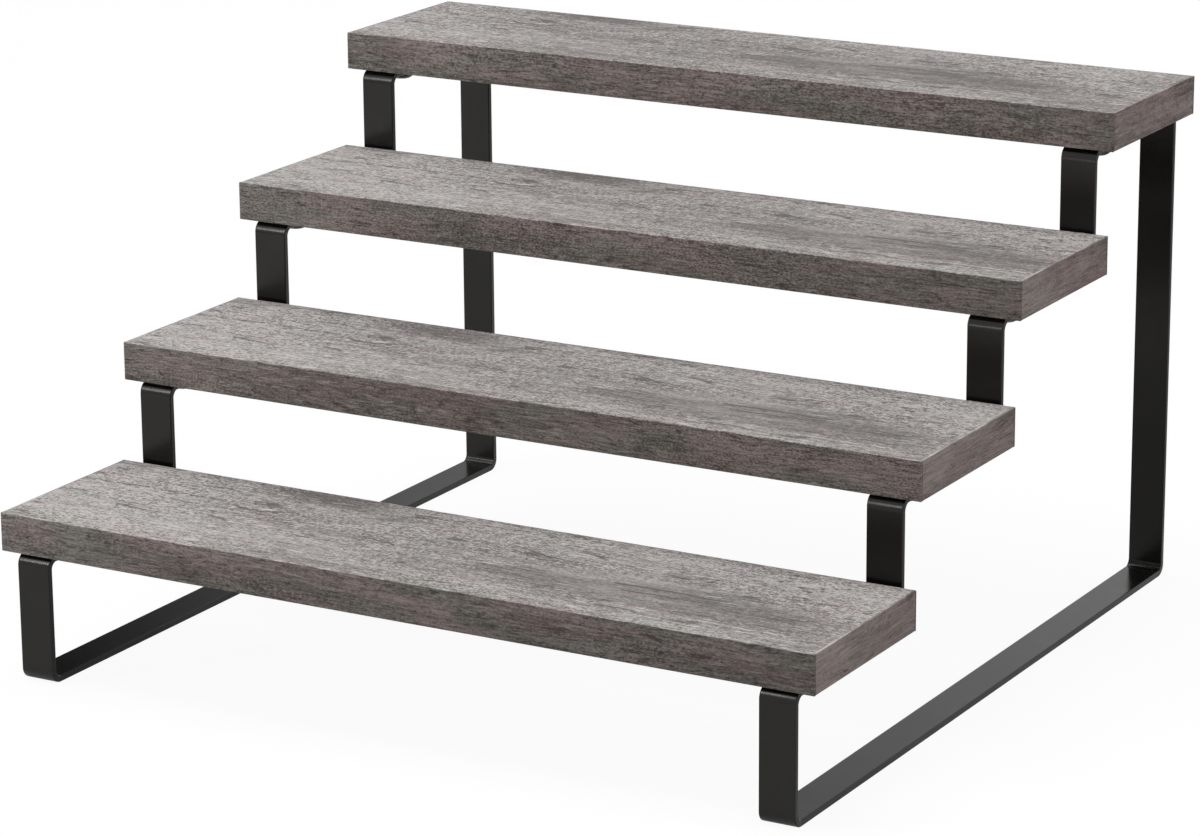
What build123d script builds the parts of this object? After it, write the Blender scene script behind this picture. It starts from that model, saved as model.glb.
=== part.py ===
from build123d import *
import os

# Four-tier display riser: laminated boards screwed onto two bent flat-bar side frames.
# Millimetres. X runs along the boards, the low front tier faces -Y, Z is up from the floor.
# The origin is on the floor, in the middle of the footprint.

# Boards
tier_count = 4
board_length = 410.0
board_depth = 95.0
board_thickness = 18.0
band_thickness = 1.0
band_edge_break = 0.3

# Steps
first_underside = 60.0
tier_rise = 56.0

# Side frames
bar_width = 17.0
bar_thickness = 3.0
bar_edge_break = 0.5
bend_inner_radius = 3.0
frame_inset = 8.5
weld_leg = 2.5

# Screws
screw_setback = 23.0
screw_diameter = 5.0
screw_length = 16.0
head_diameter = 12.0
head_height = 4.2
head_crown_diameter = 8.0
bar_hole_diameter = 5.5
pilot_clearance = 0.1

# Each board ends where the bend of the next riser begins.
tier_run = board_depth + bend_inner_radius
total_depth = (tier_count - 1) * tier_run + board_depth
front_y = -total_depth / 2
rear_y = total_depth / 2
bend_radius = bend_inner_radius + bar_thickness / 2
bar_x = board_length / 2 - frame_inset - bar_width / 2


def tier_front(tier):
    """Y of a board's front face, counting tiers from 1 at the front."""
    return front_y + (tier - 1) * tier_run


def tier_underside(tier):
    """Z of a board's underside, which is also the top of its tread."""
    return first_underside + (tier - 1) * tier_rise


def screw_places(tier):
    """The four points on a board's underside where its screws enter."""
    ys = (tier_front(tier) + screw_setback, tier_front(tier) + board_depth - screw_setback)
    return [Pos(x, y, tier_underside(tier)) for x in (-bar_x, bar_x) for y in ys]


def make_panel(tier):
    """Board without its edge bands, with blind pilot holes from below."""
    length = board_length - 2 * band_thickness
    depth = board_depth - 2 * band_thickness
    middle_y = tier_front(tier) + board_depth / 2
    panel = Pos(0, middle_y, tier_underside(tier)) * Box(
        length, depth, board_thickness, align=(Align.CENTER, Align.CENTER, Align.MIN)
    )
    hole_depth = screw_length - bar_thickness + pilot_clearance
    hole = Cylinder(
        screw_diameter / 2 + pilot_clearance,
        hole_depth,
        align=(Align.CENTER, Align.CENTER, Align.MIN),
    )
    for place in screw_places(tier):
        panel -= place * hole
    return panel


def make_band(tier, side):
    """Edge band: front and rear run the full length, left and right fit between them."""
    middle_y = tier_front(tier) + board_depth / 2
    middle_z = tier_underside(tier) + board_thickness / 2
    along_length = side in ("front", "rear")
    out = -1 if side in ("front", "left") else 1
    if along_length:
        outer_y = middle_y + out * board_depth / 2
        band = Pos(0, outer_y - out * band_thickness / 2, middle_z) * Box(
            board_length, band_thickness, board_thickness
        )
        face = band.faces().sort_by(Axis.Y)[0 if out < 0 else -1]
        edges = face.edges()
    else:
        outer_x = out * board_length / 2
        band = Pos(outer_x - out * band_thickness / 2, middle_y, middle_z) * Box(
            band_thickness, board_depth - 2 * band_thickness, board_thickness
        )
        face = band.faces().sort_by(Axis.X)[0 if out < 0 else -1]
        edges = face.edges().filter_by(Axis.Y)
    return chamfer(edges, band_edge_break)


def bar_route():
    """Centre line of the bar at x = 0, from the top of the rear upright round to the last tread."""
    half = bar_thickness / 2
    upright_y = rear_y - half
    points = [
        (0, upright_y, tier_underside(tier_count)),
        (0, upright_y, half),
        (0, front_y + half, half),
    ]
    for tier in range(1, tier_count + 1):
        riser_y = tier_front(tier) + half
        tread_z = tier_underside(tier) - half
        points.append((0, riser_y, tread_z))
        next_y = tier_front(tier + 1) + half
        last_tier = tier == tier_count
        points.append((0, upright_y if last_tier else next_y, tread_z))
    return points


def bar_along(points):
    """Flat bar with broken long edges, swept along a polyline with bent corners."""
    path = FilletPolyline(*points, radius=bend_radius) if len(points) > 2 else Line(*points)
    outline = Rectangle(bar_width, bar_thickness)
    outline = chamfer(outline.vertices(), bar_edge_break)
    start = Plane(origin=path @ 0, x_dir=(1, 0, 0), z_dir=path % 0)
    return sweep(start * outline, path=path)


def make_weld():
    """Bead that closes the loop, in the corner under the last tread and before the upright."""
    corner_y = rear_y - bar_thickness
    corner_z = tier_underside(tier_count) - bar_thickness
    length = bar_width - 2 * bar_edge_break
    with BuildSketch(Plane.YZ) as bead:
        with BuildLine():
            Polyline(
                (corner_y, corner_z),
                (corner_y - weld_leg, corner_z),
                (corner_y, corner_z - weld_leg),
                close=True,
            )
        make_face()
    return extrude(bead.sketch, length / 2, both=True)


def make_frame(side):
    """One side frame, -1 for the left and 1 for the right, with holes for the screws."""
    points = bar_route()
    upright_split = tier_underside(tier_count) / 2
    split_point = (0, points[0][1], upright_split)
    upright = bar_along([points[0], split_point])
    staircase = bar_along([split_point] + points[1:])
    frame = Pos(side * bar_x, 0, 0) * (upright + staircase + make_weld())
    hole = Cylinder(bar_hole_diameter / 2, 3 * bar_thickness)
    for tier in range(1, tier_count + 1):
        for place in screw_places(tier):
            frame -= place * hole
    return frame


def make_screw():
    """Pan-headed screw pointing up, with its seat at z = 0."""
    rim = head_diameter / 2
    crown = head_crown_diameter / 2
    shank = screw_diameter / 2
    half_section = Polyline(
        (0, -head_height),
        (0, screw_length),
        (shank, screw_length),
        (shank, 0),
        (rim, 0),
        (crown, -head_height),
        close=True,
    )
    return revolve(Plane.XZ * make_face(half_section), Axis.Z)


def write(node, shape):
    """Save one piece of the riser under its own name."""
    export_step(shape, f"parts/{node}.step")


os.makedirs("parts", exist_ok=True)

for frame_name, frame_side in (("left_side_frame", -1), ("right_side_frame", 1)):
    write(frame_name, make_frame(frame_side))

one_screw = make_screw()
for tier_number in range(1, tier_count + 1):
    write(f"board_{tier_number}_panel", make_panel(tier_number))
    for band_side in ("front", "rear", "left", "right"):
        write(f"board_{tier_number}_{band_side}_band", make_band(tier_number, band_side))
    seats = [place * Pos(0, 0, -bar_thickness) for place in screw_places(tier_number)]
    write(f"board_{tier_number}_screws", Compound([seat * one_screw for seat in seats]))
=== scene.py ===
import math

import bpy
import numpy as np
from mathutils import Euler, Matrix, Vector


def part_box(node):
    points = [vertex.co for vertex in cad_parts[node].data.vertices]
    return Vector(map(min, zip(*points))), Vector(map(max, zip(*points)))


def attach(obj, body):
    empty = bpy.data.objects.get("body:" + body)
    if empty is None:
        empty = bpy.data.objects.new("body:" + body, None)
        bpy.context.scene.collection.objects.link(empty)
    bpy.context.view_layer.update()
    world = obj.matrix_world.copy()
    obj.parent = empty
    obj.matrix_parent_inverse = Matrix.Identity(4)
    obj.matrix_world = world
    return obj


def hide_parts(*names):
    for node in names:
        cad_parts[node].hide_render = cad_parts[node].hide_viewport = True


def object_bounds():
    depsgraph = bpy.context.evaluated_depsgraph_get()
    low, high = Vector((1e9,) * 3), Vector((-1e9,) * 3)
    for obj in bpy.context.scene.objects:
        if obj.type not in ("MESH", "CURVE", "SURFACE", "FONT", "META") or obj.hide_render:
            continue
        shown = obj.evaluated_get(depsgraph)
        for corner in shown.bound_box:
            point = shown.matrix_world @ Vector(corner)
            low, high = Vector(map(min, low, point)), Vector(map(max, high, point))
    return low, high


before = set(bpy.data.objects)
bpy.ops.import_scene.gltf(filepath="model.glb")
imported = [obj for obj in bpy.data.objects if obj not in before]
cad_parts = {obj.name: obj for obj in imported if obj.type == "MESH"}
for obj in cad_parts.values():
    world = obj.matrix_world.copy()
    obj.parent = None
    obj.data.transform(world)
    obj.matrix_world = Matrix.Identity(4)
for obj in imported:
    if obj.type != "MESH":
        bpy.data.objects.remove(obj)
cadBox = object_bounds()
print("frame loaded:", len(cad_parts), "nodes")

millimetre = 0.001  # lengths are in metres where no note says mm
quarterTurn = math.pi / 2
crispAngle = math.radians(40)  # edges that turn more than this stay crisp
tiers = (1, 2, 3, 4)


# one output in a material's tree; sums and products between wires and numbers add Math nodes
class Wire:
    def __init__(self, tree, socket=None):
        self.tree = tree
        self.socket = socket

    # adds a node: its settings first, then the values or links of its sockets
    def node(self, kind, settings=None, sockets=None, out=0):
        made = self.tree.nodes.new("ShaderNode" + kind)
        for key, value in (settings or {}).items():
            if key == "stops":
                fillRamp(made.color_ramp, value)
            else:
                setattr(made, key, value)
        for key, value in (sockets or {}).items():
            if isinstance(value, Wire):
                self.tree.links.new(value.socket, made.inputs[key])
            else:
                made.inputs[key].default_value = value
        return Wire(self.tree, made.outputs[out]) if made.outputs else None

    def maths(self, operation, first, second=0.0):
        return self.node("Math", {"operation": operation}, {0: first, 1: second})

    def __add__(self, other):
        return self.maths("ADD", self, other)

    def __sub__(self, other):
        return self.maths("SUBTRACT", self, other)

    def __rsub__(self, other):
        return self.maths("SUBTRACT", other, self)

    def __mul__(self, other):
        return self.maths("MULTIPLY", self, other)

    def __truediv__(self, other):
        return self.maths("DIVIDE", self, other)

    def __rtruediv__(self, other):
        return self.maths("DIVIDE", other, self)

    __radd__ = __add__
    __rmul__ = __mul__

    def size(self):
        return self.maths("ABSOLUTE", self)

    def larger(self, other):
        return self.maths("MAXIMUM", self, other)

    # one axis of a place or a direction
    def axis(self, name):
        return self.node("SeparateXYZ", None, {0: self}, name)

    # 0 below the low value, 1 above the high one, smooth between
    def rise(self, low, high):
        span = {"interpolation_type": "SMOOTHSTEP"}
        return self.node("MapRange", span, {"Value": self, "From Min": low, "From Max": high})

    # this factor blends two colours: sockets 6 and 7 of a Mix node, and its output 2
    def blend(self, first, second):
        return self.node("Mix", {"data_type": "RGBA"}, {0: self, 6: first, 7: second}, out=2)


def opaque(colour):
    return (*colour, 1.0)


def plainGrey(level):
    return (level, level, level, 1.0)


def fillRamp(ramp, stops):
    while len(ramp.elements) < len(stops):
        ramp.elements.new(1.0)
    for element, (place, colour) in zip(ramp.elements, stops):
        element.position = place
        element.color = opaque(colour)


def newMaterial(name):
    material = bpy.data.materials.new(name)
    material.use_nodes = True
    material.node_tree.nodes.clear()
    return material, Wire(material.node_tree)


def dress(piece, material):
    piece.data.materials.clear()
    piece.data.materials.append(material)


# rings of points, each closed on itself, skinned one to the next; flat caps close both ends
# the volume, each step times the ring's area along it, tells which way round faces outwards
def skinRings(name, rings):
    areas = np.cross(rings, np.roll(rings, -1, 1)).sum(1) / 2
    steps = np.diff(rings.mean(1), axis=0)
    volume = ((areas[1:] + areas[:-1]) / 2 * steps).sum()
    rings = rings if volume > 0 else rings[:, ::-1]
    count, around = rings.shape[:2]
    ring = np.arange(count - 1)[:, None] * around
    step = np.arange(around)[None, :]
    ahead = (step + 1) % around
    walls = np.stack([ring + step, ring + ahead, ring + around + ahead, ring + around + step], -1)
    last = (count - 1) * around
    faces = walls.reshape(-1, 4).tolist()
    faces.append(np.arange(around)[::-1].tolist())
    faces.append((last + np.arange(around)).tolist())
    return meshPiece(name, rings.reshape(-1, 3), faces)


# points and faces as a smooth mesh at the origin, with its sharp turns kept crisp
def meshPiece(name, points, faces):
    mesh = bpy.data.meshes.new(name)
    mesh.from_pydata(points.tolist(), [], faces)
    mesh.validate()
    mesh.polygons.foreach_set("use_smooth", np.ones(len(mesh.polygons), bool))
    mesh.set_sharp_from_angle(angle=crispAngle)
    piece = bpy.data.objects.new(name, mesh)
    bpy.context.scene.collection.objects.link(piece)
    return piece


def standFor(piece, node):
    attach(piece, "root")
    if node:
        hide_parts(node)


# laminated boards: a grey oak print, pressed with fine pores, on every face and edge band
# s runs along the grain and t across it, in mm; a noise has a length along s and a width along t,
# and a step is the range over which it rises from 0 to 1
oak = {
    "wander": (90.0, 30.0, 8.0),  # slow bend of the grain: length, width, reach
    "ripple": (26.0, 6.0, 1.6),  # quick bend of the grain
    "areas": (90.0, 26.0),  # smooth and speckled areas
    "areaStep": (0.35, 0.65),
    "areaSpeckle": (0.65, 0.60),  # speckle in a smooth area, and what a speckled one adds
    "speckleLength": 5.0,  # layers shorter than this follow the areas
    "strokeCore": 0.2,  # share of a stroke's thinness that is fully dark
    "breaks": (0.5, 1.6),  # length and width of a stroke's breaks, times its own
    "breakStep": (0.50, 0.62),
    "fleckGlintStep": (0.60, 0.68),
    "fleckGlintAreas": (60.0, 18.0),  # where the pale flecks and their painted glints are
    "fleckGlintAreaStep": (0.50, 0.62),
    "hue": (45.0, 10.0),  # olive and mauve areas
    "hueDetail": 3.0,
    "hueStep": (0.36, 0.64),
    "rimStep": (0.5, 0.9),  # from a band's side to its rim, by the upward part of the normal
    "roughness": 0.62,
    "poreRoughness": 0.2,
    "toneRoughness": 0.1,
    "specular": 0.15,
    "pressDepth": 0.00006,
    "porePress": 0.8,
}
# where each noise starts, so that no two are alike
oakSeeds = {
    "wander": 1.3,
    "ripple": 5.7,
    "areas": 9.1,
    "layers": 11.0,
    "nextLayer": 3.1,  # from one layer to the next
    "cracks": 31.0,
    "pores": 37.0,
    "breaks": 2.0,  # from a stroke to its breaks
    "flecksAndGlints": 43.0,
    "fleckGlintAreas": 47.0,
    "hue": 53.0,
    "sway": 61.0,
    "veinGaps": 67.0,
    "glintGaps": 71.0,
    "shortGlints": 77.0,
}
# layers of tone: length, width, share, detail, roughness, from clouds to speckle;
# before its speckle the top also has faint saw marks across the grain and fine strokes along it
# cracks and pores: length, width, thinness, share; pale flecks, partly painted glints: length,
# width, share
# patches: middle s and t, half length, half width, change of tone
topPrint = {
    "layers": (
        (130.0, 40.0, 0.95, 2.0, 0.55),
        (60.0, 5.0, 0.52, 2.0, 0.60),
        (13.0, 1.4, 0.72, 2.0, 0.60),
        (1.8, 16.0, 0.36, 1.0, 0.60),
        (2.0, 0.45, 2.40, 1.0, 0.60),
        (1.0, 0.75, 1.90, 1.0, 0.80),
    ),
    "cracks": (60.0, 7.0, 0.034, 0.46),
    "pores": (10.0, 3.0, 0.060, 0.65),
    "flecksAndGlints": (15.0, 1.8, 0.80),
    "dark": (0.130, 0.118, 0.112),
    "middle": (0.312, 0.289, 0.276),
    "pale": (0.560, 0.535, 0.517),
    "olive": (0.985, 1.00, 0.99),
    "mauve": (1.02, 0.99, 1.00),
    "hueTone": 0.04,
    "contrast": 1.0,
    "patches": (
        (118.0, 86.0, 42.0, 13.0, -0.36),
        (200.0, 62.5, 10.0, 2.8, -0.45),
        (318.0, 29.0, 125.0, 24.0, -0.27),
        # painted light: every top is lighter towards its left end, as light falling from the left
        # would make it
        (20.0, 45.0, 95.0, 70.0, 0.20),
        (265.0, 78.0, 80.0, 18.0, 0.10),
        (375.0, 72.0, 65.0, 30.0, 0.18),
    ),
}
# the long and end bands are printed darker than the top: partly their own tone, partly painted
# shade of faces that turn away from the light above
longEdgePrintAndShade = {
    "layers": (
        (80.0, 16.0, 0.65, 2.0, 0.50),
        (50.0, 2.6, 0.50, 2.0, 0.60),
        (10.0, 0.8, 1.60, 2.0, 0.65),
        (1.3, 0.7, 2.00, 1.0, 0.80),
    ),
    "cracks": (36.0, 3.0, 0.040, 0.40),
    "pores": (8.0, 1.6, 0.060, 0.36),
    "flecksAndGlints": (9.0, 1.0, 0.45),
    "dark": (0.105, 0.090, 0.082),
    "middle": (0.232, 0.203, 0.187),
    "pale": (0.415, 0.377, 0.355),
    "olive": (0.965, 1.00, 0.975),
    "mauve": (1.06, 0.98, 0.995),
    "hueTone": 0.14,
    "contrast": 0.93,
    # the first patch is painted light: every long band is lighter towards its left end, as light
    # falling from the left would make it
    "patches": ((15.0, 9.0, 85.0, 40.0, 0.14), (400.0, 9.0, 50.0, 40.0, 0.05)),
}
# painted shade in part, as for the long bands
endEdgePrintAndShade = {
    "layers": (
        (60.0, 14.0, 0.70, 2.0, 0.50),
        (40.0, 2.4, 0.50, 2.0, 0.60),
        (12.0, 0.9, 1.00, 2.0, 0.65),
        (1.3, 0.7, 0.90, 1.0, 0.80),
    ),
    "cracks": (40.0, 3.6, 0.050, 0.16),
    "pores": (12.0, 2.2, 0.080, 0.14),
    "flecksAndGlints": (8.0, 1.0, 0.30),
    "dark": (0.130, 0.102, 0.096),
    "middle": (0.283, 0.229, 0.214),
    "pale": (0.440, 0.380, 0.362),
    "olive": (0.97, 1.00, 0.985),
    "mauve": (1.02, 0.985, 1.00),
    "hueTone": 0.06,
    "contrast": 1.15,
    "patches": ((8.0, 11.0, 32.0, 16.0, 0.16), (86.0, 15.0, 22.0, 8.0, -0.14)),
}
# areas of the top where the print changes, each a middle and a reach
topAreas = {
    "calm": ((322.0, 29.0), (145.0, 30.0)),  # less speckle here
    "calmShare": 0.5,
    "raw": ((368.0, 70.0), (62.0, 26.0)),  # the pores open up here
    "closedPores": 0.30,  # and are this strong elsewhere
    "white": ((300.0, 14.0), (75.0, 13.0)),  # pale flecks with their painted glints gather here
    "bright": ((45.0, 42.0), (110.0, 60.0)),  # and short painted glints here
    "shortGlints": (6.0, 1.8, 0.85),
    "shortGlintStep": (0.62, 0.70),
}
# a dark vein that sways about a straight line and dips into a curl, with a painted glint, a pale
# highlight, in the dip
vein = {
    "across": 62.0,
    "ends": (104.0, 126.0),  # it fades out between these
    "sway": (22.0, 500.0),  # the sway is the same right across the board
    "swayReach": 6.0,
    "curl": ((97.0, 62.0), (20.0, 40.0)),
    "dip": 5.5,
    "core": 0.3,
    "halfWidth": 1.9,
    "gaps": (11.0, 7.0),
    "gapStep": (0.36, 0.54),
    "change": 0.60,
    "glintArea": ((100.0, 60.0), (13.0, 8.0)),
    "glintOffset": 2.9,
    "glintCore": 0.2,
    "glintGaps": (5.0, 3.0),
    "glintStep": (0.42, 0.56),
    "glint": 0.75,
}


# tone = half + lift + contrast * sum of share * (noise - half), each noise stretched along the
# grain, less the dark strokes, plus the pale flecks and the patches; a ramp turns tone into colour;
# the lift is partly painted shade, the pale flecks partly painted glints, and some patches painted
# light
def oakLaminate(name, look, cut, liftAndShade):
    material, wire = newMaterial(name)
    place = wire.node("TexCoord", out="Object")
    s = (place.axis(cut["along"]) - cut["start"][0]) / millimetre
    t = (place.axis(cut["across"]) - cut["start"][1]) / millimetre
    onTop = look is topPrint

    def noise(size, seed, across=t, detail=2.0, roughness=0.5):
        axes = {0: s / size[0], 1: across / size[1], 2: seed + cut["seed"]}
        point = wire.node("CombineXYZ", None, axes)
        sockets = {"Vector": point, "Scale": 1.0, "Detail": detail, "Roughness": roughness}
        return wire.node("TexNoise", None, sockets)

    # 1 at the middle of an ellipse, 0 outside it
    def spot(middle, reach, across=t):
        ds = (s - middle[0]) / reach[0]
        dt = (across - middle[1]) / reach[1]
        return 1 - (ds * ds + dt * dt).rise(0.0, 1.0)

    # the lines where a stretched noise crosses its middle, broken up by a second noise
    def strokes(length, width, thin, seed):
        offMiddle = (noise((length, width), seed, bent, detail=1.0) - 0.5).size()
        line = 1 - offMiddle.rise(oak["strokeCore"] * thin, thin)
        breakSize = (oak["breaks"][0] * length, oak["breaks"][1] * width)
        gaps = noise(breakSize, seed + oakSeeds["breaks"], bent, detail=1.0)
        return line * gaps.rise(*oak["breakStep"])

    # change of tone by the vein and its painted glint
    def veinTone():
        sway = noise(vein["sway"], oakSeeds["sway"], detail=1.0) - 0.5
        off = t - vein["across"] - sway * vein["swayReach"]
        off = off + spot(*vein["curl"]) * vein["dip"]
        dark = 1 - off.size().rise(vein["core"], vein["halfWidth"])
        dark = dark * (1 - s.rise(*vein["ends"]))
        dark = dark * noise(vein["gaps"], oakSeeds["veinGaps"]).rise(*vein["gapStep"])
        pale = 1 - (off - vein["glintOffset"]).size().rise(vein["glintCore"], vein["halfWidth"])
        pale = pale * noise(vein["glintGaps"], oakSeeds["glintGaps"]).rise(*vein["glintStep"])
        return pale * spot(*vein["glintArea"]) * vein["glint"] - dark * vein["change"]

    bent = t
    for key in ("wander", "ripple"):
        length, width, reach = oak[key]
        bent = bent + (noise((length, width), oakSeeds[key]) - 0.5) * reach
    smoothSpeckle, addedSpeckle = oak["areaSpeckle"]
    speckled = noise(oak["areas"], oakSeeds["areas"]).rise(*oak["areaStep"])
    coarse = smoothSpeckle + speckled * addedSpeckle
    # where the pale flecks show; they are partly the print's pale marks, partly painted glints
    fleckGlintPlace = noise(oak["fleckGlintAreas"], oakSeeds["fleckGlintAreas"]).rise(*oak["fleckGlintAreaStep"])
    poreStrength = 1.0
    if onTop:
        coarse = coarse * (1 - spot(*topAreas["calm"]) * topAreas["calmShare"])
        fleckGlintPlace = fleckGlintPlace.larger(spot(*topAreas["white"]))
        poreStrength = topAreas["closedPores"] + spot(*topAreas["raw"])

    grain = 0.0
    for index, (length, width, share, detail, roughness) in enumerate(look["layers"]):
        seed = oakSeeds["layers"] + oakSeeds["nextLayer"] * index
        layer = (noise((length, width), seed, bent, detail, roughness) - 0.5) * share
        grain = grain + (layer * coarse if length < oak["speckleLength"] else layer)
    *crackSize, crackShare = look["cracks"]
    cracks = strokes(*crackSize, oakSeeds["cracks"])
    *poreSize, poreShare = look["pores"]
    pores = strokes(*poreSize, oakSeeds["pores"]) * poreStrength
    # pale flecks: partly the print's pale marks, partly painted glints of the pressed surface
    *fleckGlintSize, fleckGlintShare = look["flecksAndGlints"]
    flecksAndGlints = noise(fleckGlintSize, oakSeeds["flecksAndGlints"], bent, detail=1.0).rise(*oak["fleckGlintStep"])
    hue = noise(oak["hue"], oakSeeds["hue"], detail=oak["hueDetail"]).rise(*oak["hueStep"])
    tone = 0.5 + liftAndShade + grain * look["contrast"] + (hue - 0.5) * look["hueTone"]
    tone = tone - cracks * crackShare - pores * poreShare + flecksAndGlints * fleckGlintPlace * fleckGlintShare
    for middleS, middleT, halfLength, halfWidth, change in look["patches"]:
        tone = tone + spot((middleS, middleT), (halfLength, halfWidth), bent) * change
    if onTop:
        # short pale flecks near the left end: painted glints
        *shortGlintSize, shortGlintShare = topAreas["shortGlints"]
        shortGlints = noise(shortGlintSize, oakSeeds["shortGlints"], bent, detail=1.0)
        shortGlints = shortGlints.rise(*topAreas["shortGlintStep"]) * spot(*topAreas["bright"])
        tone = tone + shortGlints * shortGlintShare + veinTone()

    def printed(tones):
        stops = [(0.0, tones["dark"]), (0.5, tones["middle"]), (1.0, tones["pale"])]
        return wire.node("ValToRGB", {"stops": stops}, {0: tone})

    colour = printed(look)
    if not onTop:
        # the rim of a band, level with the face, is coloured like the face
        facing = wire.node("NewGeometry", out="Normal").axis("Z")
        colour = facing.size().rise(*oak["rimStep"]).blend(colour, printed(topPrint))
    tint = hue.blend(opaque(look["olive"]), opaque(look["mauve"]))
    multiply = {"data_type": "RGBA", "blend_type": "MULTIPLY"}
    colour = wire.node("Mix", multiply, {0: 1.0, 6: colour, 7: tint}, out=2)
    press = {"Height": tone - cracks - pores * oak["porePress"], "Distance": oak["pressDepth"]}
    dullPores = pores * oak["poreRoughness"]
    shader = wire.node("BsdfPrincipled", None, {
        "Base Color": colour,
        "Roughness": oak["roughness"] + dullPores - (tone - 0.5) * oak["toneRoughness"],
        "Specular IOR Level": oak["specular"],
        "Normal": wire.node("Bump", None, press),
    })
    wire.node("OutputMaterial", None, {"Surface": shader})
    return material


bandShape = {"edgeRadius": 0.00035, "edgeSteps": 5}


# the band's section, thickness by height, with its two outer corners rounded, is one ring at each
# station; at an end that shows, the outer face turns in along the same radius
def edgeBand(name, low, high, outward):
    radius = bandShape["edgeRadius"]
    turn = np.linspace(0, quarterTurn, bandShape["edgeSteps"] + 1)
    runAxis = 0 if outward[1] else 1
    wallAxis = 1 - runAxis
    side = outward[wallAxis]
    inner = low[wallAxis] if side > 0 else high[wallAxis]
    outer = high[wallAxis] if side > 0 else low[wallAxis]
    endTurn = turn if runAxis == 0 else turn[:1]
    tuck = radius * (1 - np.cos(endTurn))
    reach = radius * (1 - np.sin(endTurn))
    # stations along the run: round the first end, then round the last one
    stations = np.concatenate([(low[runAxis] + reach)[::-1], high[runAxis] - reach])
    tucks = np.concatenate([tuck[::-1], tuck])
    # the section: straight on the inner side, an arc at each outer corner
    arcOut = radius * (1 - np.sin(turn))
    arcUp = radius * (1 - np.cos(turn))
    depth = np.concatenate([arcOut, arcOut[::-1]])
    heights = np.concatenate([[low[2]], low[2] + arcUp, (high[2] - arcUp)[::-1], [high[2]]])
    outerWall = outer - side * depth - side * tucks[:, None]
    innerWall = np.full((len(stations), 1), inner)
    rings = np.empty((len(stations), len(heights), 3))
    rings[..., runAxis] = stations[:, None]
    rings[..., wallAxis] = np.concatenate([innerWall, outerWall, innerWall], 1)
    rings[..., 2] = heights
    return skinRings(name, rings)


# every board is cut from the same print: slip, in mm along and across, says how much further on,
# and lift changes the tone of its face, its long bands and its end bands; it is partly painted
# shade, as the top board's face is printed darker where it takes more light than the boards below
boardPrint = {
    "slip": ((0.0, 0.0), (2.0, -4.0), (20.0, 0.0), (-29.0, 4.0)),
    "liftAndShade": ((0.0, 0.06, 0.16), (-0.01, -0.05, 0.08), (-0.02, 0.0, 0.04), (-0.10, -0.02, -0.06)),
    "bandSeed": 7.3,
}
bandSides = {"front": (0, -1), "rear": (0, 1), "left": (-1, 0), "right": (1, 0)}  # ways they face


def dressBoard(tier):
    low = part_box(f"board_{tier}_panel")[0]
    slipS, slipT = boardPrint["slip"][tier - 1]
    faceLiftAndShade, longLift, endLift = boardPrint["liftAndShade"][tier - 1]
    faceStart = (low.x + slipS * millimetre, low.y + slipT * millimetre)
    bandSeed = boardPrint["bandSeed"] * tier
    faceCut = {"along": "X", "across": "Y", "start": faceStart, "seed": 0.0}
    longCut = {"along": "X", "across": "Z", "start": (low.x, low.z), "seed": bandSeed}
    endCut = {"along": "Y", "across": "Z", "start": (low.y, low.z), "seed": bandSeed}
    face = oakLaminate(f"oakFace{tier}", topPrint, faceCut, faceLiftAndShade)
    longBand = oakLaminate(f"oakLongBand{tier}", longEdgePrintAndShade, longCut, longLift)
    endBand = oakLaminate(f"oakEndBand{tier}", endEdgePrintAndShade, endCut, endLift)
    dress(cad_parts[f"board_{tier}_panel"], face)
    for side, outward in bandSides.items():
        node = f"board_{tier}_{side}_band"
        bandLow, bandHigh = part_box(node)
        band = edgeBand(f"board_{tier}_{side}_strip", bandLow, bandHigh, outward)
        dress(band, longBand if side in ("front", "rear") else endBand)
        standFor(band, node)


for tier in tiers:
    dressBoard(tier)
print("boards dressed")


barShape = {
    "edgeRadius": 0.00045,
    "edgeSteps": 6,
    "bendInner": 0.003,
    "bendSteps": 14,
    "ease": 0.0003,  # support loops beside the curves keep the flats flat
    "bendBulge": 0.0002,  # the bar is this much wider at the middle of a bend
}


# a bar fills the space between a board's underside and the screw heads below it
def barThickness():
    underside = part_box("board_1_panel")[0][2]
    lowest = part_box("board_1_screws")[0][2]
    return underside - lowest - screwShape["headHeight"]


# section of the bar: a rounded rectangle, width across and thickness through
def barSection(width, thickness):
    radius = barShape["edgeRadius"]
    turn = np.linspace(0, quarterTurn, barShape["edgeSteps"] + 1)
    ease = barShape["ease"]
    across = np.concatenate([[radius], radius * np.cos(turn), [-ease]]) + width / 2 - radius
    through = np.concatenate([[-ease], radius * np.sin(turn), [radius]]) + thickness / 2 - radius
    quarter = np.stack([across, through], 1)
    mirrored = quarter[::-1]
    return np.concatenate([
        quarter,
        mirrored * (-1, 1),
        quarter * (-1, -1),
        mirrored * (1, -1),
    ])


# centre line: straight runs joined by arcs; each corner turns from one run's heading to the next
# about a centre one radius off both runs; gives places, headings and how far into a bend each is
def bentLine(corners, radius):
    places = [corners[0]]
    headings = [corners[1] - corners[0]]
    bends = [0.0]
    steps = np.linspace(0, 1, barShape["bendSteps"] + 1)
    angle = steps * quarterTurn
    ease = barShape["ease"]
    for before, corner, after in zip(corners, corners[1:], corners[2:]):
        come = (corner - before) / np.linalg.norm(corner - before)
        go = (after - corner) / np.linalg.norm(after - corner)
        centre = corner + radius * (go - come)
        arc = centre - radius * (np.outer(np.cos(angle), go) - np.outer(np.sin(angle), come))
        heading = np.outer(np.cos(angle), come) + np.outer(np.sin(angle), go)
        places += [arc[0] - come * ease, *arc, arc[-1] + go * ease]
        headings += [come, *heading, go]
        bends += [0.0, *np.sin(steps * math.pi), 0.0]
    places.append(corners[-1])
    headings.append(corners[-1] - corners[-2])
    bends.append(0.0)
    headings = np.array(headings)
    headings /= np.linalg.norm(headings, axis=1, keepdims=True)
    return np.array(places), headings, np.array(bends)


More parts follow.
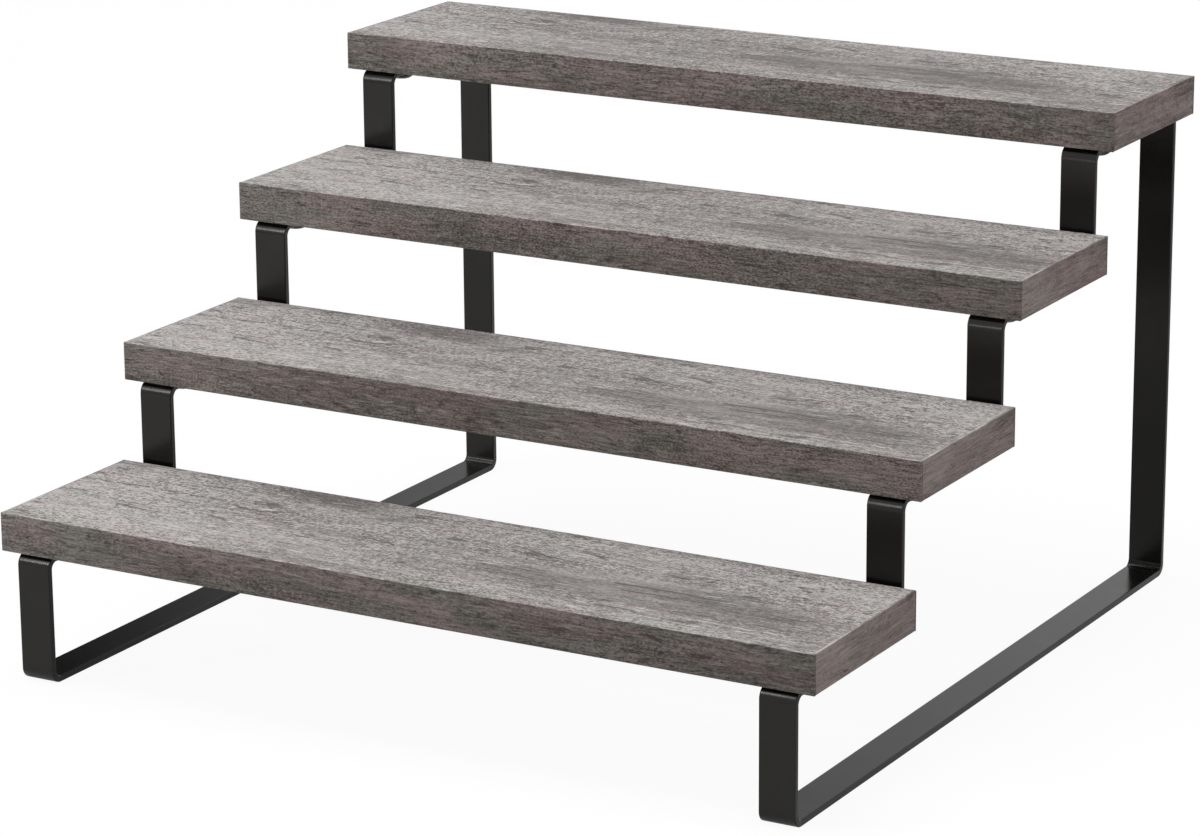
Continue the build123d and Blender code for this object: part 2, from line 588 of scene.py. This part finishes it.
# one side frame: the section carried along the centre line, from the top of the rear upright
# down, along the floor and up the staircase, and a little wider in each bend
def sideFrame(side, thickness):
    low, high = (np.array(corner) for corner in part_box(side + "_side_frame"))
    width = high[0] - low[0]
    treadTops = [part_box(f"board_{tier}_panel")[0][2] for tier in tiers]
    risers = [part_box(f"board_{tier}_front_band")[0][1] for tier in tiers]
    half = thickness / 2
    upright = high[1] - half
    corners = [(upright, high[2]), (upright, half), (low[1] + half, half)]
    treadEnds = [riser + half for riser in risers[1:]] + [upright]
    for treadTop, riser, treadEnd in zip(treadTops, risers, treadEnds):
        corners.append((riser + half, treadTop - half))
        corners.append((treadEnd, treadTop - half))
    places, headings, bends = bentLine(np.array(corners), barShape["bendInner"] + half)
    section = barSection(width, thickness)
    normals = np.stack([-headings[:, 1], headings[:, 0]], 1)
    spread = 1 + bends[:, None] * barShape["bendBulge"] / width
    rings = np.empty((len(places), len(section), 3))
    rings[..., 0] = (low[0] + high[0]) / 2 + section[:, 0] * spread
    rings[..., 1] = places[:, :1] + normals[:, :1] * section[:, 1]
    rings[..., 2] = places[:, 1:] + normals[:, 1:] * section[:, 1]
    return skinRings(side + "_bent_bar", rings)


weldShape = {
    "leg": 0.0027,
    "endLeg": 0.4,  # share of the leg that is left at the ends
    "endSwell": 0.25,  # power of the sine by which the ends swell to the full leg
    "ripple": 0.00022,
    "pitch": 0.0016,
    "flatten": 0.25,  # how far the face falls short of a quarter round
    "sunk": 0.2,  # the back reaches this far into the bar, times the leg
    "stations": 60,
    "steps": 8,
}


# bead: a flattened quarter round carried across the bar, its leg swelling with each ripple
def weldBead(side, thickness):
    low, high = (np.array(corner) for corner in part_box(side + "_side_frame"))
    inset = barShape["edgeRadius"]
    x = np.linspace(low[0] + inset, high[0] - inset, weldShape["stations"])
    swell = np.sin(np.linspace(0, math.pi, len(x))) ** weldShape["endSwell"]
    leg = weldShape["leg"] * (weldShape["endLeg"] + (1 - weldShape["endLeg"]) * swell)
    leg = leg + weldShape["ripple"] * np.sin(2 * math.pi * x / weldShape["pitch"]) * swell
    turn = np.linspace(0, quarterTurn, weldShape["steps"])
    face = 1 - weldShape["flatten"] * np.sin(2 * turn)
    back = np.concatenate([[-weldShape["sunk"]], face * np.cos(turn)])
    down = np.concatenate([[-weldShape["sunk"]], face * np.sin(turn)])
    rings = np.empty((len(x), len(back), 3))
    rings[..., 0] = x[:, None]
    rings[..., 1] = high[1] - thickness - leg[:, None] * back
    rings[..., 2] = high[2] - thickness - leg[:, None] * down
    return skinRings(side + "_weld_bead", rings)


screwShape = {
    "headRadius": 0.006,
    "headHeight": 0.0042,
    "rimHeight": 0.0012,
    "rimBreak": 0.0003,
    "seat": 0.985,  # radius of the seat, times the head's
    "shankRadius": 0.0025,
    "socketAcross": 0.0040,
    "socketDepth": 0.0022,
    "socketMiddle": 0.02,  # the socket's floor closes on a hexagon of this size, times its own
    "crown": 1.12,  # radius from which the dome falls, times the socket's corners
    "domeStart": 0.08,  # share of a quarter turn at the dome's first ring
    "domeSteps": 7,
    "sides": 48,
}


# head and shank: rings about the screw's axis, from the socket floor out over the dome,
# across the seat and up the shank; the first three rings are hexagons, the rest circles
def screwRings(length):
    turn = np.arange(screwShape["sides"]) * 2 * math.pi / screwShape["sides"]
    sixth = math.pi / 3
    offFlat = (turn + sixth / 2) % sixth - sixth / 2  # angle from the middle of the nearest flat
    hexagon = screwShape["socketAcross"] / 2 / np.cos(offFlat)
    circle = np.ones_like(turn)
    head = screwShape["headRadius"]
    shank = screwShape["shankRadius"]
    top = screwShape["headHeight"]
    rim = screwShape["rimHeight"]
    socketFloor = top - screwShape["socketDepth"]
    crown = hexagon.max() * screwShape["crown"]
    dome = np.linspace(screwShape["domeStart"], 1.0, screwShape["domeSteps"]) * quarterTurn
    domeRadii = crown + (head - crown) * np.sin(dome)
    domeDepths = rim + (top - rim) * np.cos(dome)
    radii = [hexagon * screwShape["socketMiddle"], hexagon, hexagon]
    radii += [circle * radius for radius in domeRadii]
    radii += [circle * head, circle * head * screwShape["seat"], circle * shank, circle * shank]
    radii = np.array(radii)
    depths = [socketFloor, socketFloor, top, *domeDepths]
    depths += [screwShape["rimBreak"], 0.0, 0.0, -length]
    depths = np.array(depths)[:, None]
    return np.stack([radii * np.cos(turn), radii * np.sin(turn), -depths + 0 * radii], -1)


# the same rings at the four corners of the screws' box, a head's radius in, seated on the bar
def boardScrews(tier, thickness):
    low, high = (np.array(corner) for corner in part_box(f"board_{tier}_screws"))
    head = screwShape["headRadius"]
    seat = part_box(f"board_{tier}_panel")[0][2] - thickness
    rings = screwRings(high[2] - seat)
    pieces = []
    for x in (low[0] + head, high[0] - head):
        for y in (low[1] + head, high[1] - head):
            pieces.append(skinRings("screw", rings + (x, y, seat)))
    return joinPieces(f"board_{tier}_pan_screws", pieces)


def joinPieces(name, pieces):
    with bpy.context.temp_override(active_object=pieces[0], selected_editable_objects=pieces):
        bpy.ops.object.join()
    pieces[0].name = name
    pieces[0].data.name = name
    return pieces[0]


# a noise here: size in mm, detail
coat = {
    "colour": (0.0045, 0.0041, 0.0038),
    "worn": (0.016, 0.015, 0.014),
    "gloss": (1.0, 0.98, 0.94),
    "specular": 0.30,
    "roughness": 0.22,
    "cloud": (24.0, 4.0),
    "cloudRoughness": 0.14,
    "rub": (9.0, 5.0),
    "rubAreas": (60.0, 2.0),
    "rubStep": (0.27, 0.42),
    "rubShare": 0.35,
    "rubRoughness": 0.05,
    "peel": (0.8, 1.0),
    "peelDepth": 0.00002,
}


# satin powder coat: orange peel, faint cloudiness and rubbed patches
def powderCoat():
    material, wire = newMaterial("satinBlackCoat")
    place = wire.node("TexCoord", out="Object")

    def noise(key):
        size, detail = coat[key]
        scale = 1 / (size * millimetre)
        return wire.node("TexNoise", None, {"Vector": place, "Scale": scale, "Detail": detail})

    clouded = (noise("cloud") - 0.5) * coat["cloudRoughness"]
    rub = (noise("rub") * noise("rubAreas")).rise(*coat["rubStep"])
    colour = (rub * coat["rubShare"]).blend(opaque(coat["colour"]), opaque(coat["worn"]))
    peel = {"Height": noise("peel"), "Distance": coat["peelDepth"]}
    shader = wire.node("BsdfPrincipled", None, {
        "Base Color": colour,
        "Roughness": coat["roughness"] + clouded - rub * coat["rubRoughness"],
        "Specular IOR Level": coat["specular"],
        "Specular Tint": opaque(coat["gloss"]),
        "Normal": wire.node("Bump", None, peel),
    })
    wire.node("OutputMaterial", None, {"Surface": shader})
    return material


oxide = {
    "colour": (0.030, 0.028, 0.026),
    "worn": (0.075, 0.070, 0.066),
    "metallic": 0.9,
    "roughness": 0.24,
    "uneven": 0.2,
    "fineScale": 1400.0,
    "fineDetail": 3.0,
    "fineDepth": 0.000004,
}


# black oxide: a dark metal with a fine uneven tone
def blackOxide():
    material, wire = newMaterial("blackOxideScrew")
    place = wire.node("TexCoord", out="Object")
    sockets = {"Vector": place, "Scale": oxide["fineScale"], "Detail": oxide["fineDetail"]}
    fine = wire.node("TexNoise", None, sockets)
    shader = wire.node("BsdfPrincipled", None, {
        "Base Color": fine.blend(opaque(oxide["colour"]), opaque(oxide["worn"])),
        "Metallic": oxide["metallic"],
        "Roughness": oxide["roughness"] + (fine - 0.5) * oxide["uneven"],
        "Normal": wire.node("Bump", None, {"Height": fine, "Distance": oxide["fineDepth"]}),
    })
    wire.node("OutputMaterial", None, {"Surface": shader})
    return material


# bend the frames and set the screws
blackCoat = powderCoat()
blackScrew = blackOxide()
thickness = barThickness()
for side in ("left", "right"):
    bar = sideFrame(side, thickness)
    dress(bar, blackCoat)
    standFor(bar, side + "_side_frame")
    bead = weldBead(side, thickness)
    dress(bead, blackCoat)
    standFor(bead, None)
for tier in tiers:
    screws = boardScrews(tier, thickness)
    dress(screws, blackScrew)
    standFor(screws, f"board_{tier}_screws")
print("frames and screws made")


# stage: a pale floor that keeps the shadow, and a white surround
stage = {
    "floorSize": 40.0,
    "floorDrop": 0.0002,
    "bounce": 0.18,  # grey of the floor where it only sends light back to the boards
    "shadowed": 0.95,
    "whiteShare": 0.94,  # the floor in view is this much white, and the rest of it takes the shadow
    "glossShare": 0.35,  # in the gloss of the bars the floor shows more of its shade
    "paintedShadeRight": (0.20, 0.24),  # beyond these lines the floor carries a painted shade, dim grey in the gloss of the bars
    "paintedShadeBack": (-0.20, -0.17),
    "paintedShadeGrey": 0.45,
    "surround": 0.22,
}
# key from above, strip and glint from the front left, spark close in front, fill from the right
# and back from behind; rays: diffuse lamps draw no highlights, gloss lamps draw nothing else
lamps = {
    "key": {"place": (-1.6, -0.5, 7.5), "size": (4.5, 4.5), "power": 455.0, "rays": "all"},
    "strip": {"place": (-0.88, -1.10, 0.43), "size": (0.12, 0.48), "power": 4.1, "rays": "diffuse"},
    "glint": {"place": (-0.84, -0.97, 0.87), "size": (0.12, 0.48), "power": 4.1, "rays": "gloss"},
    "spark": {"place": (0.047, -0.37, 0.25), "size": (0.06, 0.06), "power": 0.12, "rays": "gloss"},
    "fill": {"place": (2.6, 0.2, 1.2), "size": (1.2, 1.2), "power": 18.5, "rays": "all"},
    "back": {"place": (0.4, 2.5, 0.5), "size": (1.6, 0.8), "power": 15.0, "rays": "diffuse"},
}
# a graded card behind on the left, seen only in the gloss of the bars
# grades: metres along it from its middle, grey
card = {
    "middle": (-1.32, 2.12),
    "turn": 32.0,  # degrees
    "halfWidth": 1.5,
    "height": 2.2,
    "grades": ((-0.50, 0.01), (-0.30, 0.22), (-0.15, 0.50), (0.35, 0.68), (0.75, 1.0)),
}
# the photograph's view: angles in degrees, lens and sensor in mm
camera = {
    "place": (0.96977, -1.70344, 0.66252),
    "azimuth": 29.795,
    "elevation": 15.990,
    "roll": -0.426,
    "lens": 132.33,
    "sensor": 36.0,
}


# 1 for rays that show the background: from the camera, in gloss or through glass
def seenRays(wire):
    direct = wire.node("LightPath", out="Is Camera Ray")
    glossy = wire.node("LightPath", out="Is Glossy Ray")
    glass = wire.node("LightPath", out="Is Transmission Ray")
    return direct.larger(glossy).larger(glass)


def glow(wire, colour):
    return wire.node("Emission", None, {"Color": colour, "Strength": 1.0})


# a square just under the rails: rays that show it see white with some shadow, others a dim grey;
# in gloss it also carries a painted shade at the right and back
def makeFloor():
    half = stage["floorSize"] / 2
    corners = np.array([(-1, -1), (1, -1), (1, 1), (-1, 1)]) * half
    points = np.column_stack([corners, np.full(len(corners), -stage["floorDrop"])])
    floor = meshPiece("paleFloor", points, [(0, 1, 2, 3)])
    material, wire = newMaterial("paleFloor")
    bounce = wire.node("BsdfDiffuse", None, {"Color": plainGrey(stage["bounce"])})
    shadowed = wire.node("BsdfDiffuse", None, {"Color": plainGrey(stage["shadowed"])})
    glossy = wire.node("LightPath", out="Is Glossy Ray")
    share = stage["whiteShare"] - glossy * (stage["whiteShare"] - stage["glossShare"])
    pale = wire.node("MixShader", None, {0: share, 1: shadowed, 2: glow(wire, plainGrey(1.0))})
    # painted shade: the floor is a dim grey at the right and back, seen only in gloss
    place = wire.node("TexCoord", out="Object")
    paintedShadeMask = place.axis("X").rise(*stage["paintedShadeRight"]) * place.axis("Y").rise(*stage["paintedShadeBack"])
    paintedShadeGlow = glow(wire, plainGrey(stage["paintedShadeGrey"]))
    pale = wire.node("MixShader", None, {0: paintedShadeMask * glossy, 1: pale, 2: paintedShadeGlow})
    surface = wire.node("MixShader", None, {0: seenRays(wire), 1: bounce, 2: pale})
    wire.node("OutputMaterial", None, {"Surface": surface})
    dress(floor, material)


# an upright rectangle, turned about its middle; u runs along it, and a ramp over u gives its grey
def makeCard():
    turn = math.radians(card["turn"])
    along = np.array((math.cos(turn), math.sin(turn)))
    middle = np.array(card["middle"])
    left = middle - along * card["halfWidth"]
    right = middle + along * card["halfWidth"]
    top = card["height"]
    points = np.array([(*left, 0.0), (*right, 0.0), (*right, top), (*left, top)])
    piece = meshPiece("greyCard", points, [(0, 1, 2, 3)])
    material, wire = newMaterial("greyCard")
    place = wire.node("TexCoord", out="Object")
    u = (place.axis("X") - middle[0]) * along[0] + (place.axis("Y") - middle[1]) * along[1]
    span = 2 * card["halfWidth"]
    stops = [(at / span + 0.5, (grey, grey, grey)) for at, grey in card["grades"]]
    shade = wire.node("ValToRGB", {"stops": stops}, {0: u / span + 0.5})
    wire.node("OutputMaterial", None, {"Surface": glow(wire, shade)})
    dress(piece, material)
    piece.visible_camera = False
    piece.visible_diffuse = False
    piece.visible_transmission = False
    piece.visible_shadow = False


# rays that show the surround see white, others its plain light
def makeSurround():
    world = bpy.data.worlds.new("surround")
    world.use_nodes = True
    world.node_tree.nodes.clear()
    wire = Wire(world.node_tree)
    light = wire.node("Background", None, {"Strength": stage["surround"]})
    white = wire.node("Background", None, {"Color": plainGrey(1.0), "Strength": 1.0})
    surface = wire.node("MixShader", None, {0: seenRays(wire), 1: light, 2: white})
    wire.node("OutputWorld", None, {"Surface": surface})
    bpy.context.scene.world = world


# a rectangle of light, turned to face the middle of the loaded model
def makeLamp(name, lamp):
    light = bpy.data.lights.new(name, "AREA")
    light.shape = "RECTANGLE"
    light.size, light.size_y = lamp["size"]
    light.energy = lamp["power"]
    holder = bpy.data.objects.new(name, light)
    bpy.context.scene.collection.objects.link(holder)
    place = Vector(lamp["place"])
    aim = (cadBox[0] + cadBox[1]) / 2
    holder.location = place
    holder.rotation_euler = (aim - place).to_track_quat("-Z", "Y").to_euler()
    holder.visible_camera = False
    holder.visible_glossy = lamp["rays"] != "diffuse"
    holder.visible_diffuse = lamp["rays"] != "gloss"


# elevation and azimuth tilt and turn the camera about the world's axes, roll about its own
def makeCamera():
    lens = bpy.data.cameras.new("photoView")
    lens.lens = camera["lens"]
    lens.sensor_width = camera["sensor"]
    holder = bpy.data.objects.new("photoView", lens)
    bpy.context.scene.collection.objects.link(holder)
    tilt = Euler((math.radians(90 - camera["elevation"]), 0, math.radians(camera["azimuth"])))
    roll = Matrix.Rotation(math.radians(camera["roll"]), 4, "Z")
    holder.matrix_world = Matrix.Translation(camera["place"]) @ tilt.to_matrix().to_4x4() @ roll
    bpy.context.scene.camera = holder


makeFloor()
makeCard()
makeSurround()
for lampName, lamp in lamps.items():
    makeLamp(lampName + "Lamp", lamp)
makeCamera()
bpy.context.scene.view_settings.view_transform = "Standard"
print("stage set")
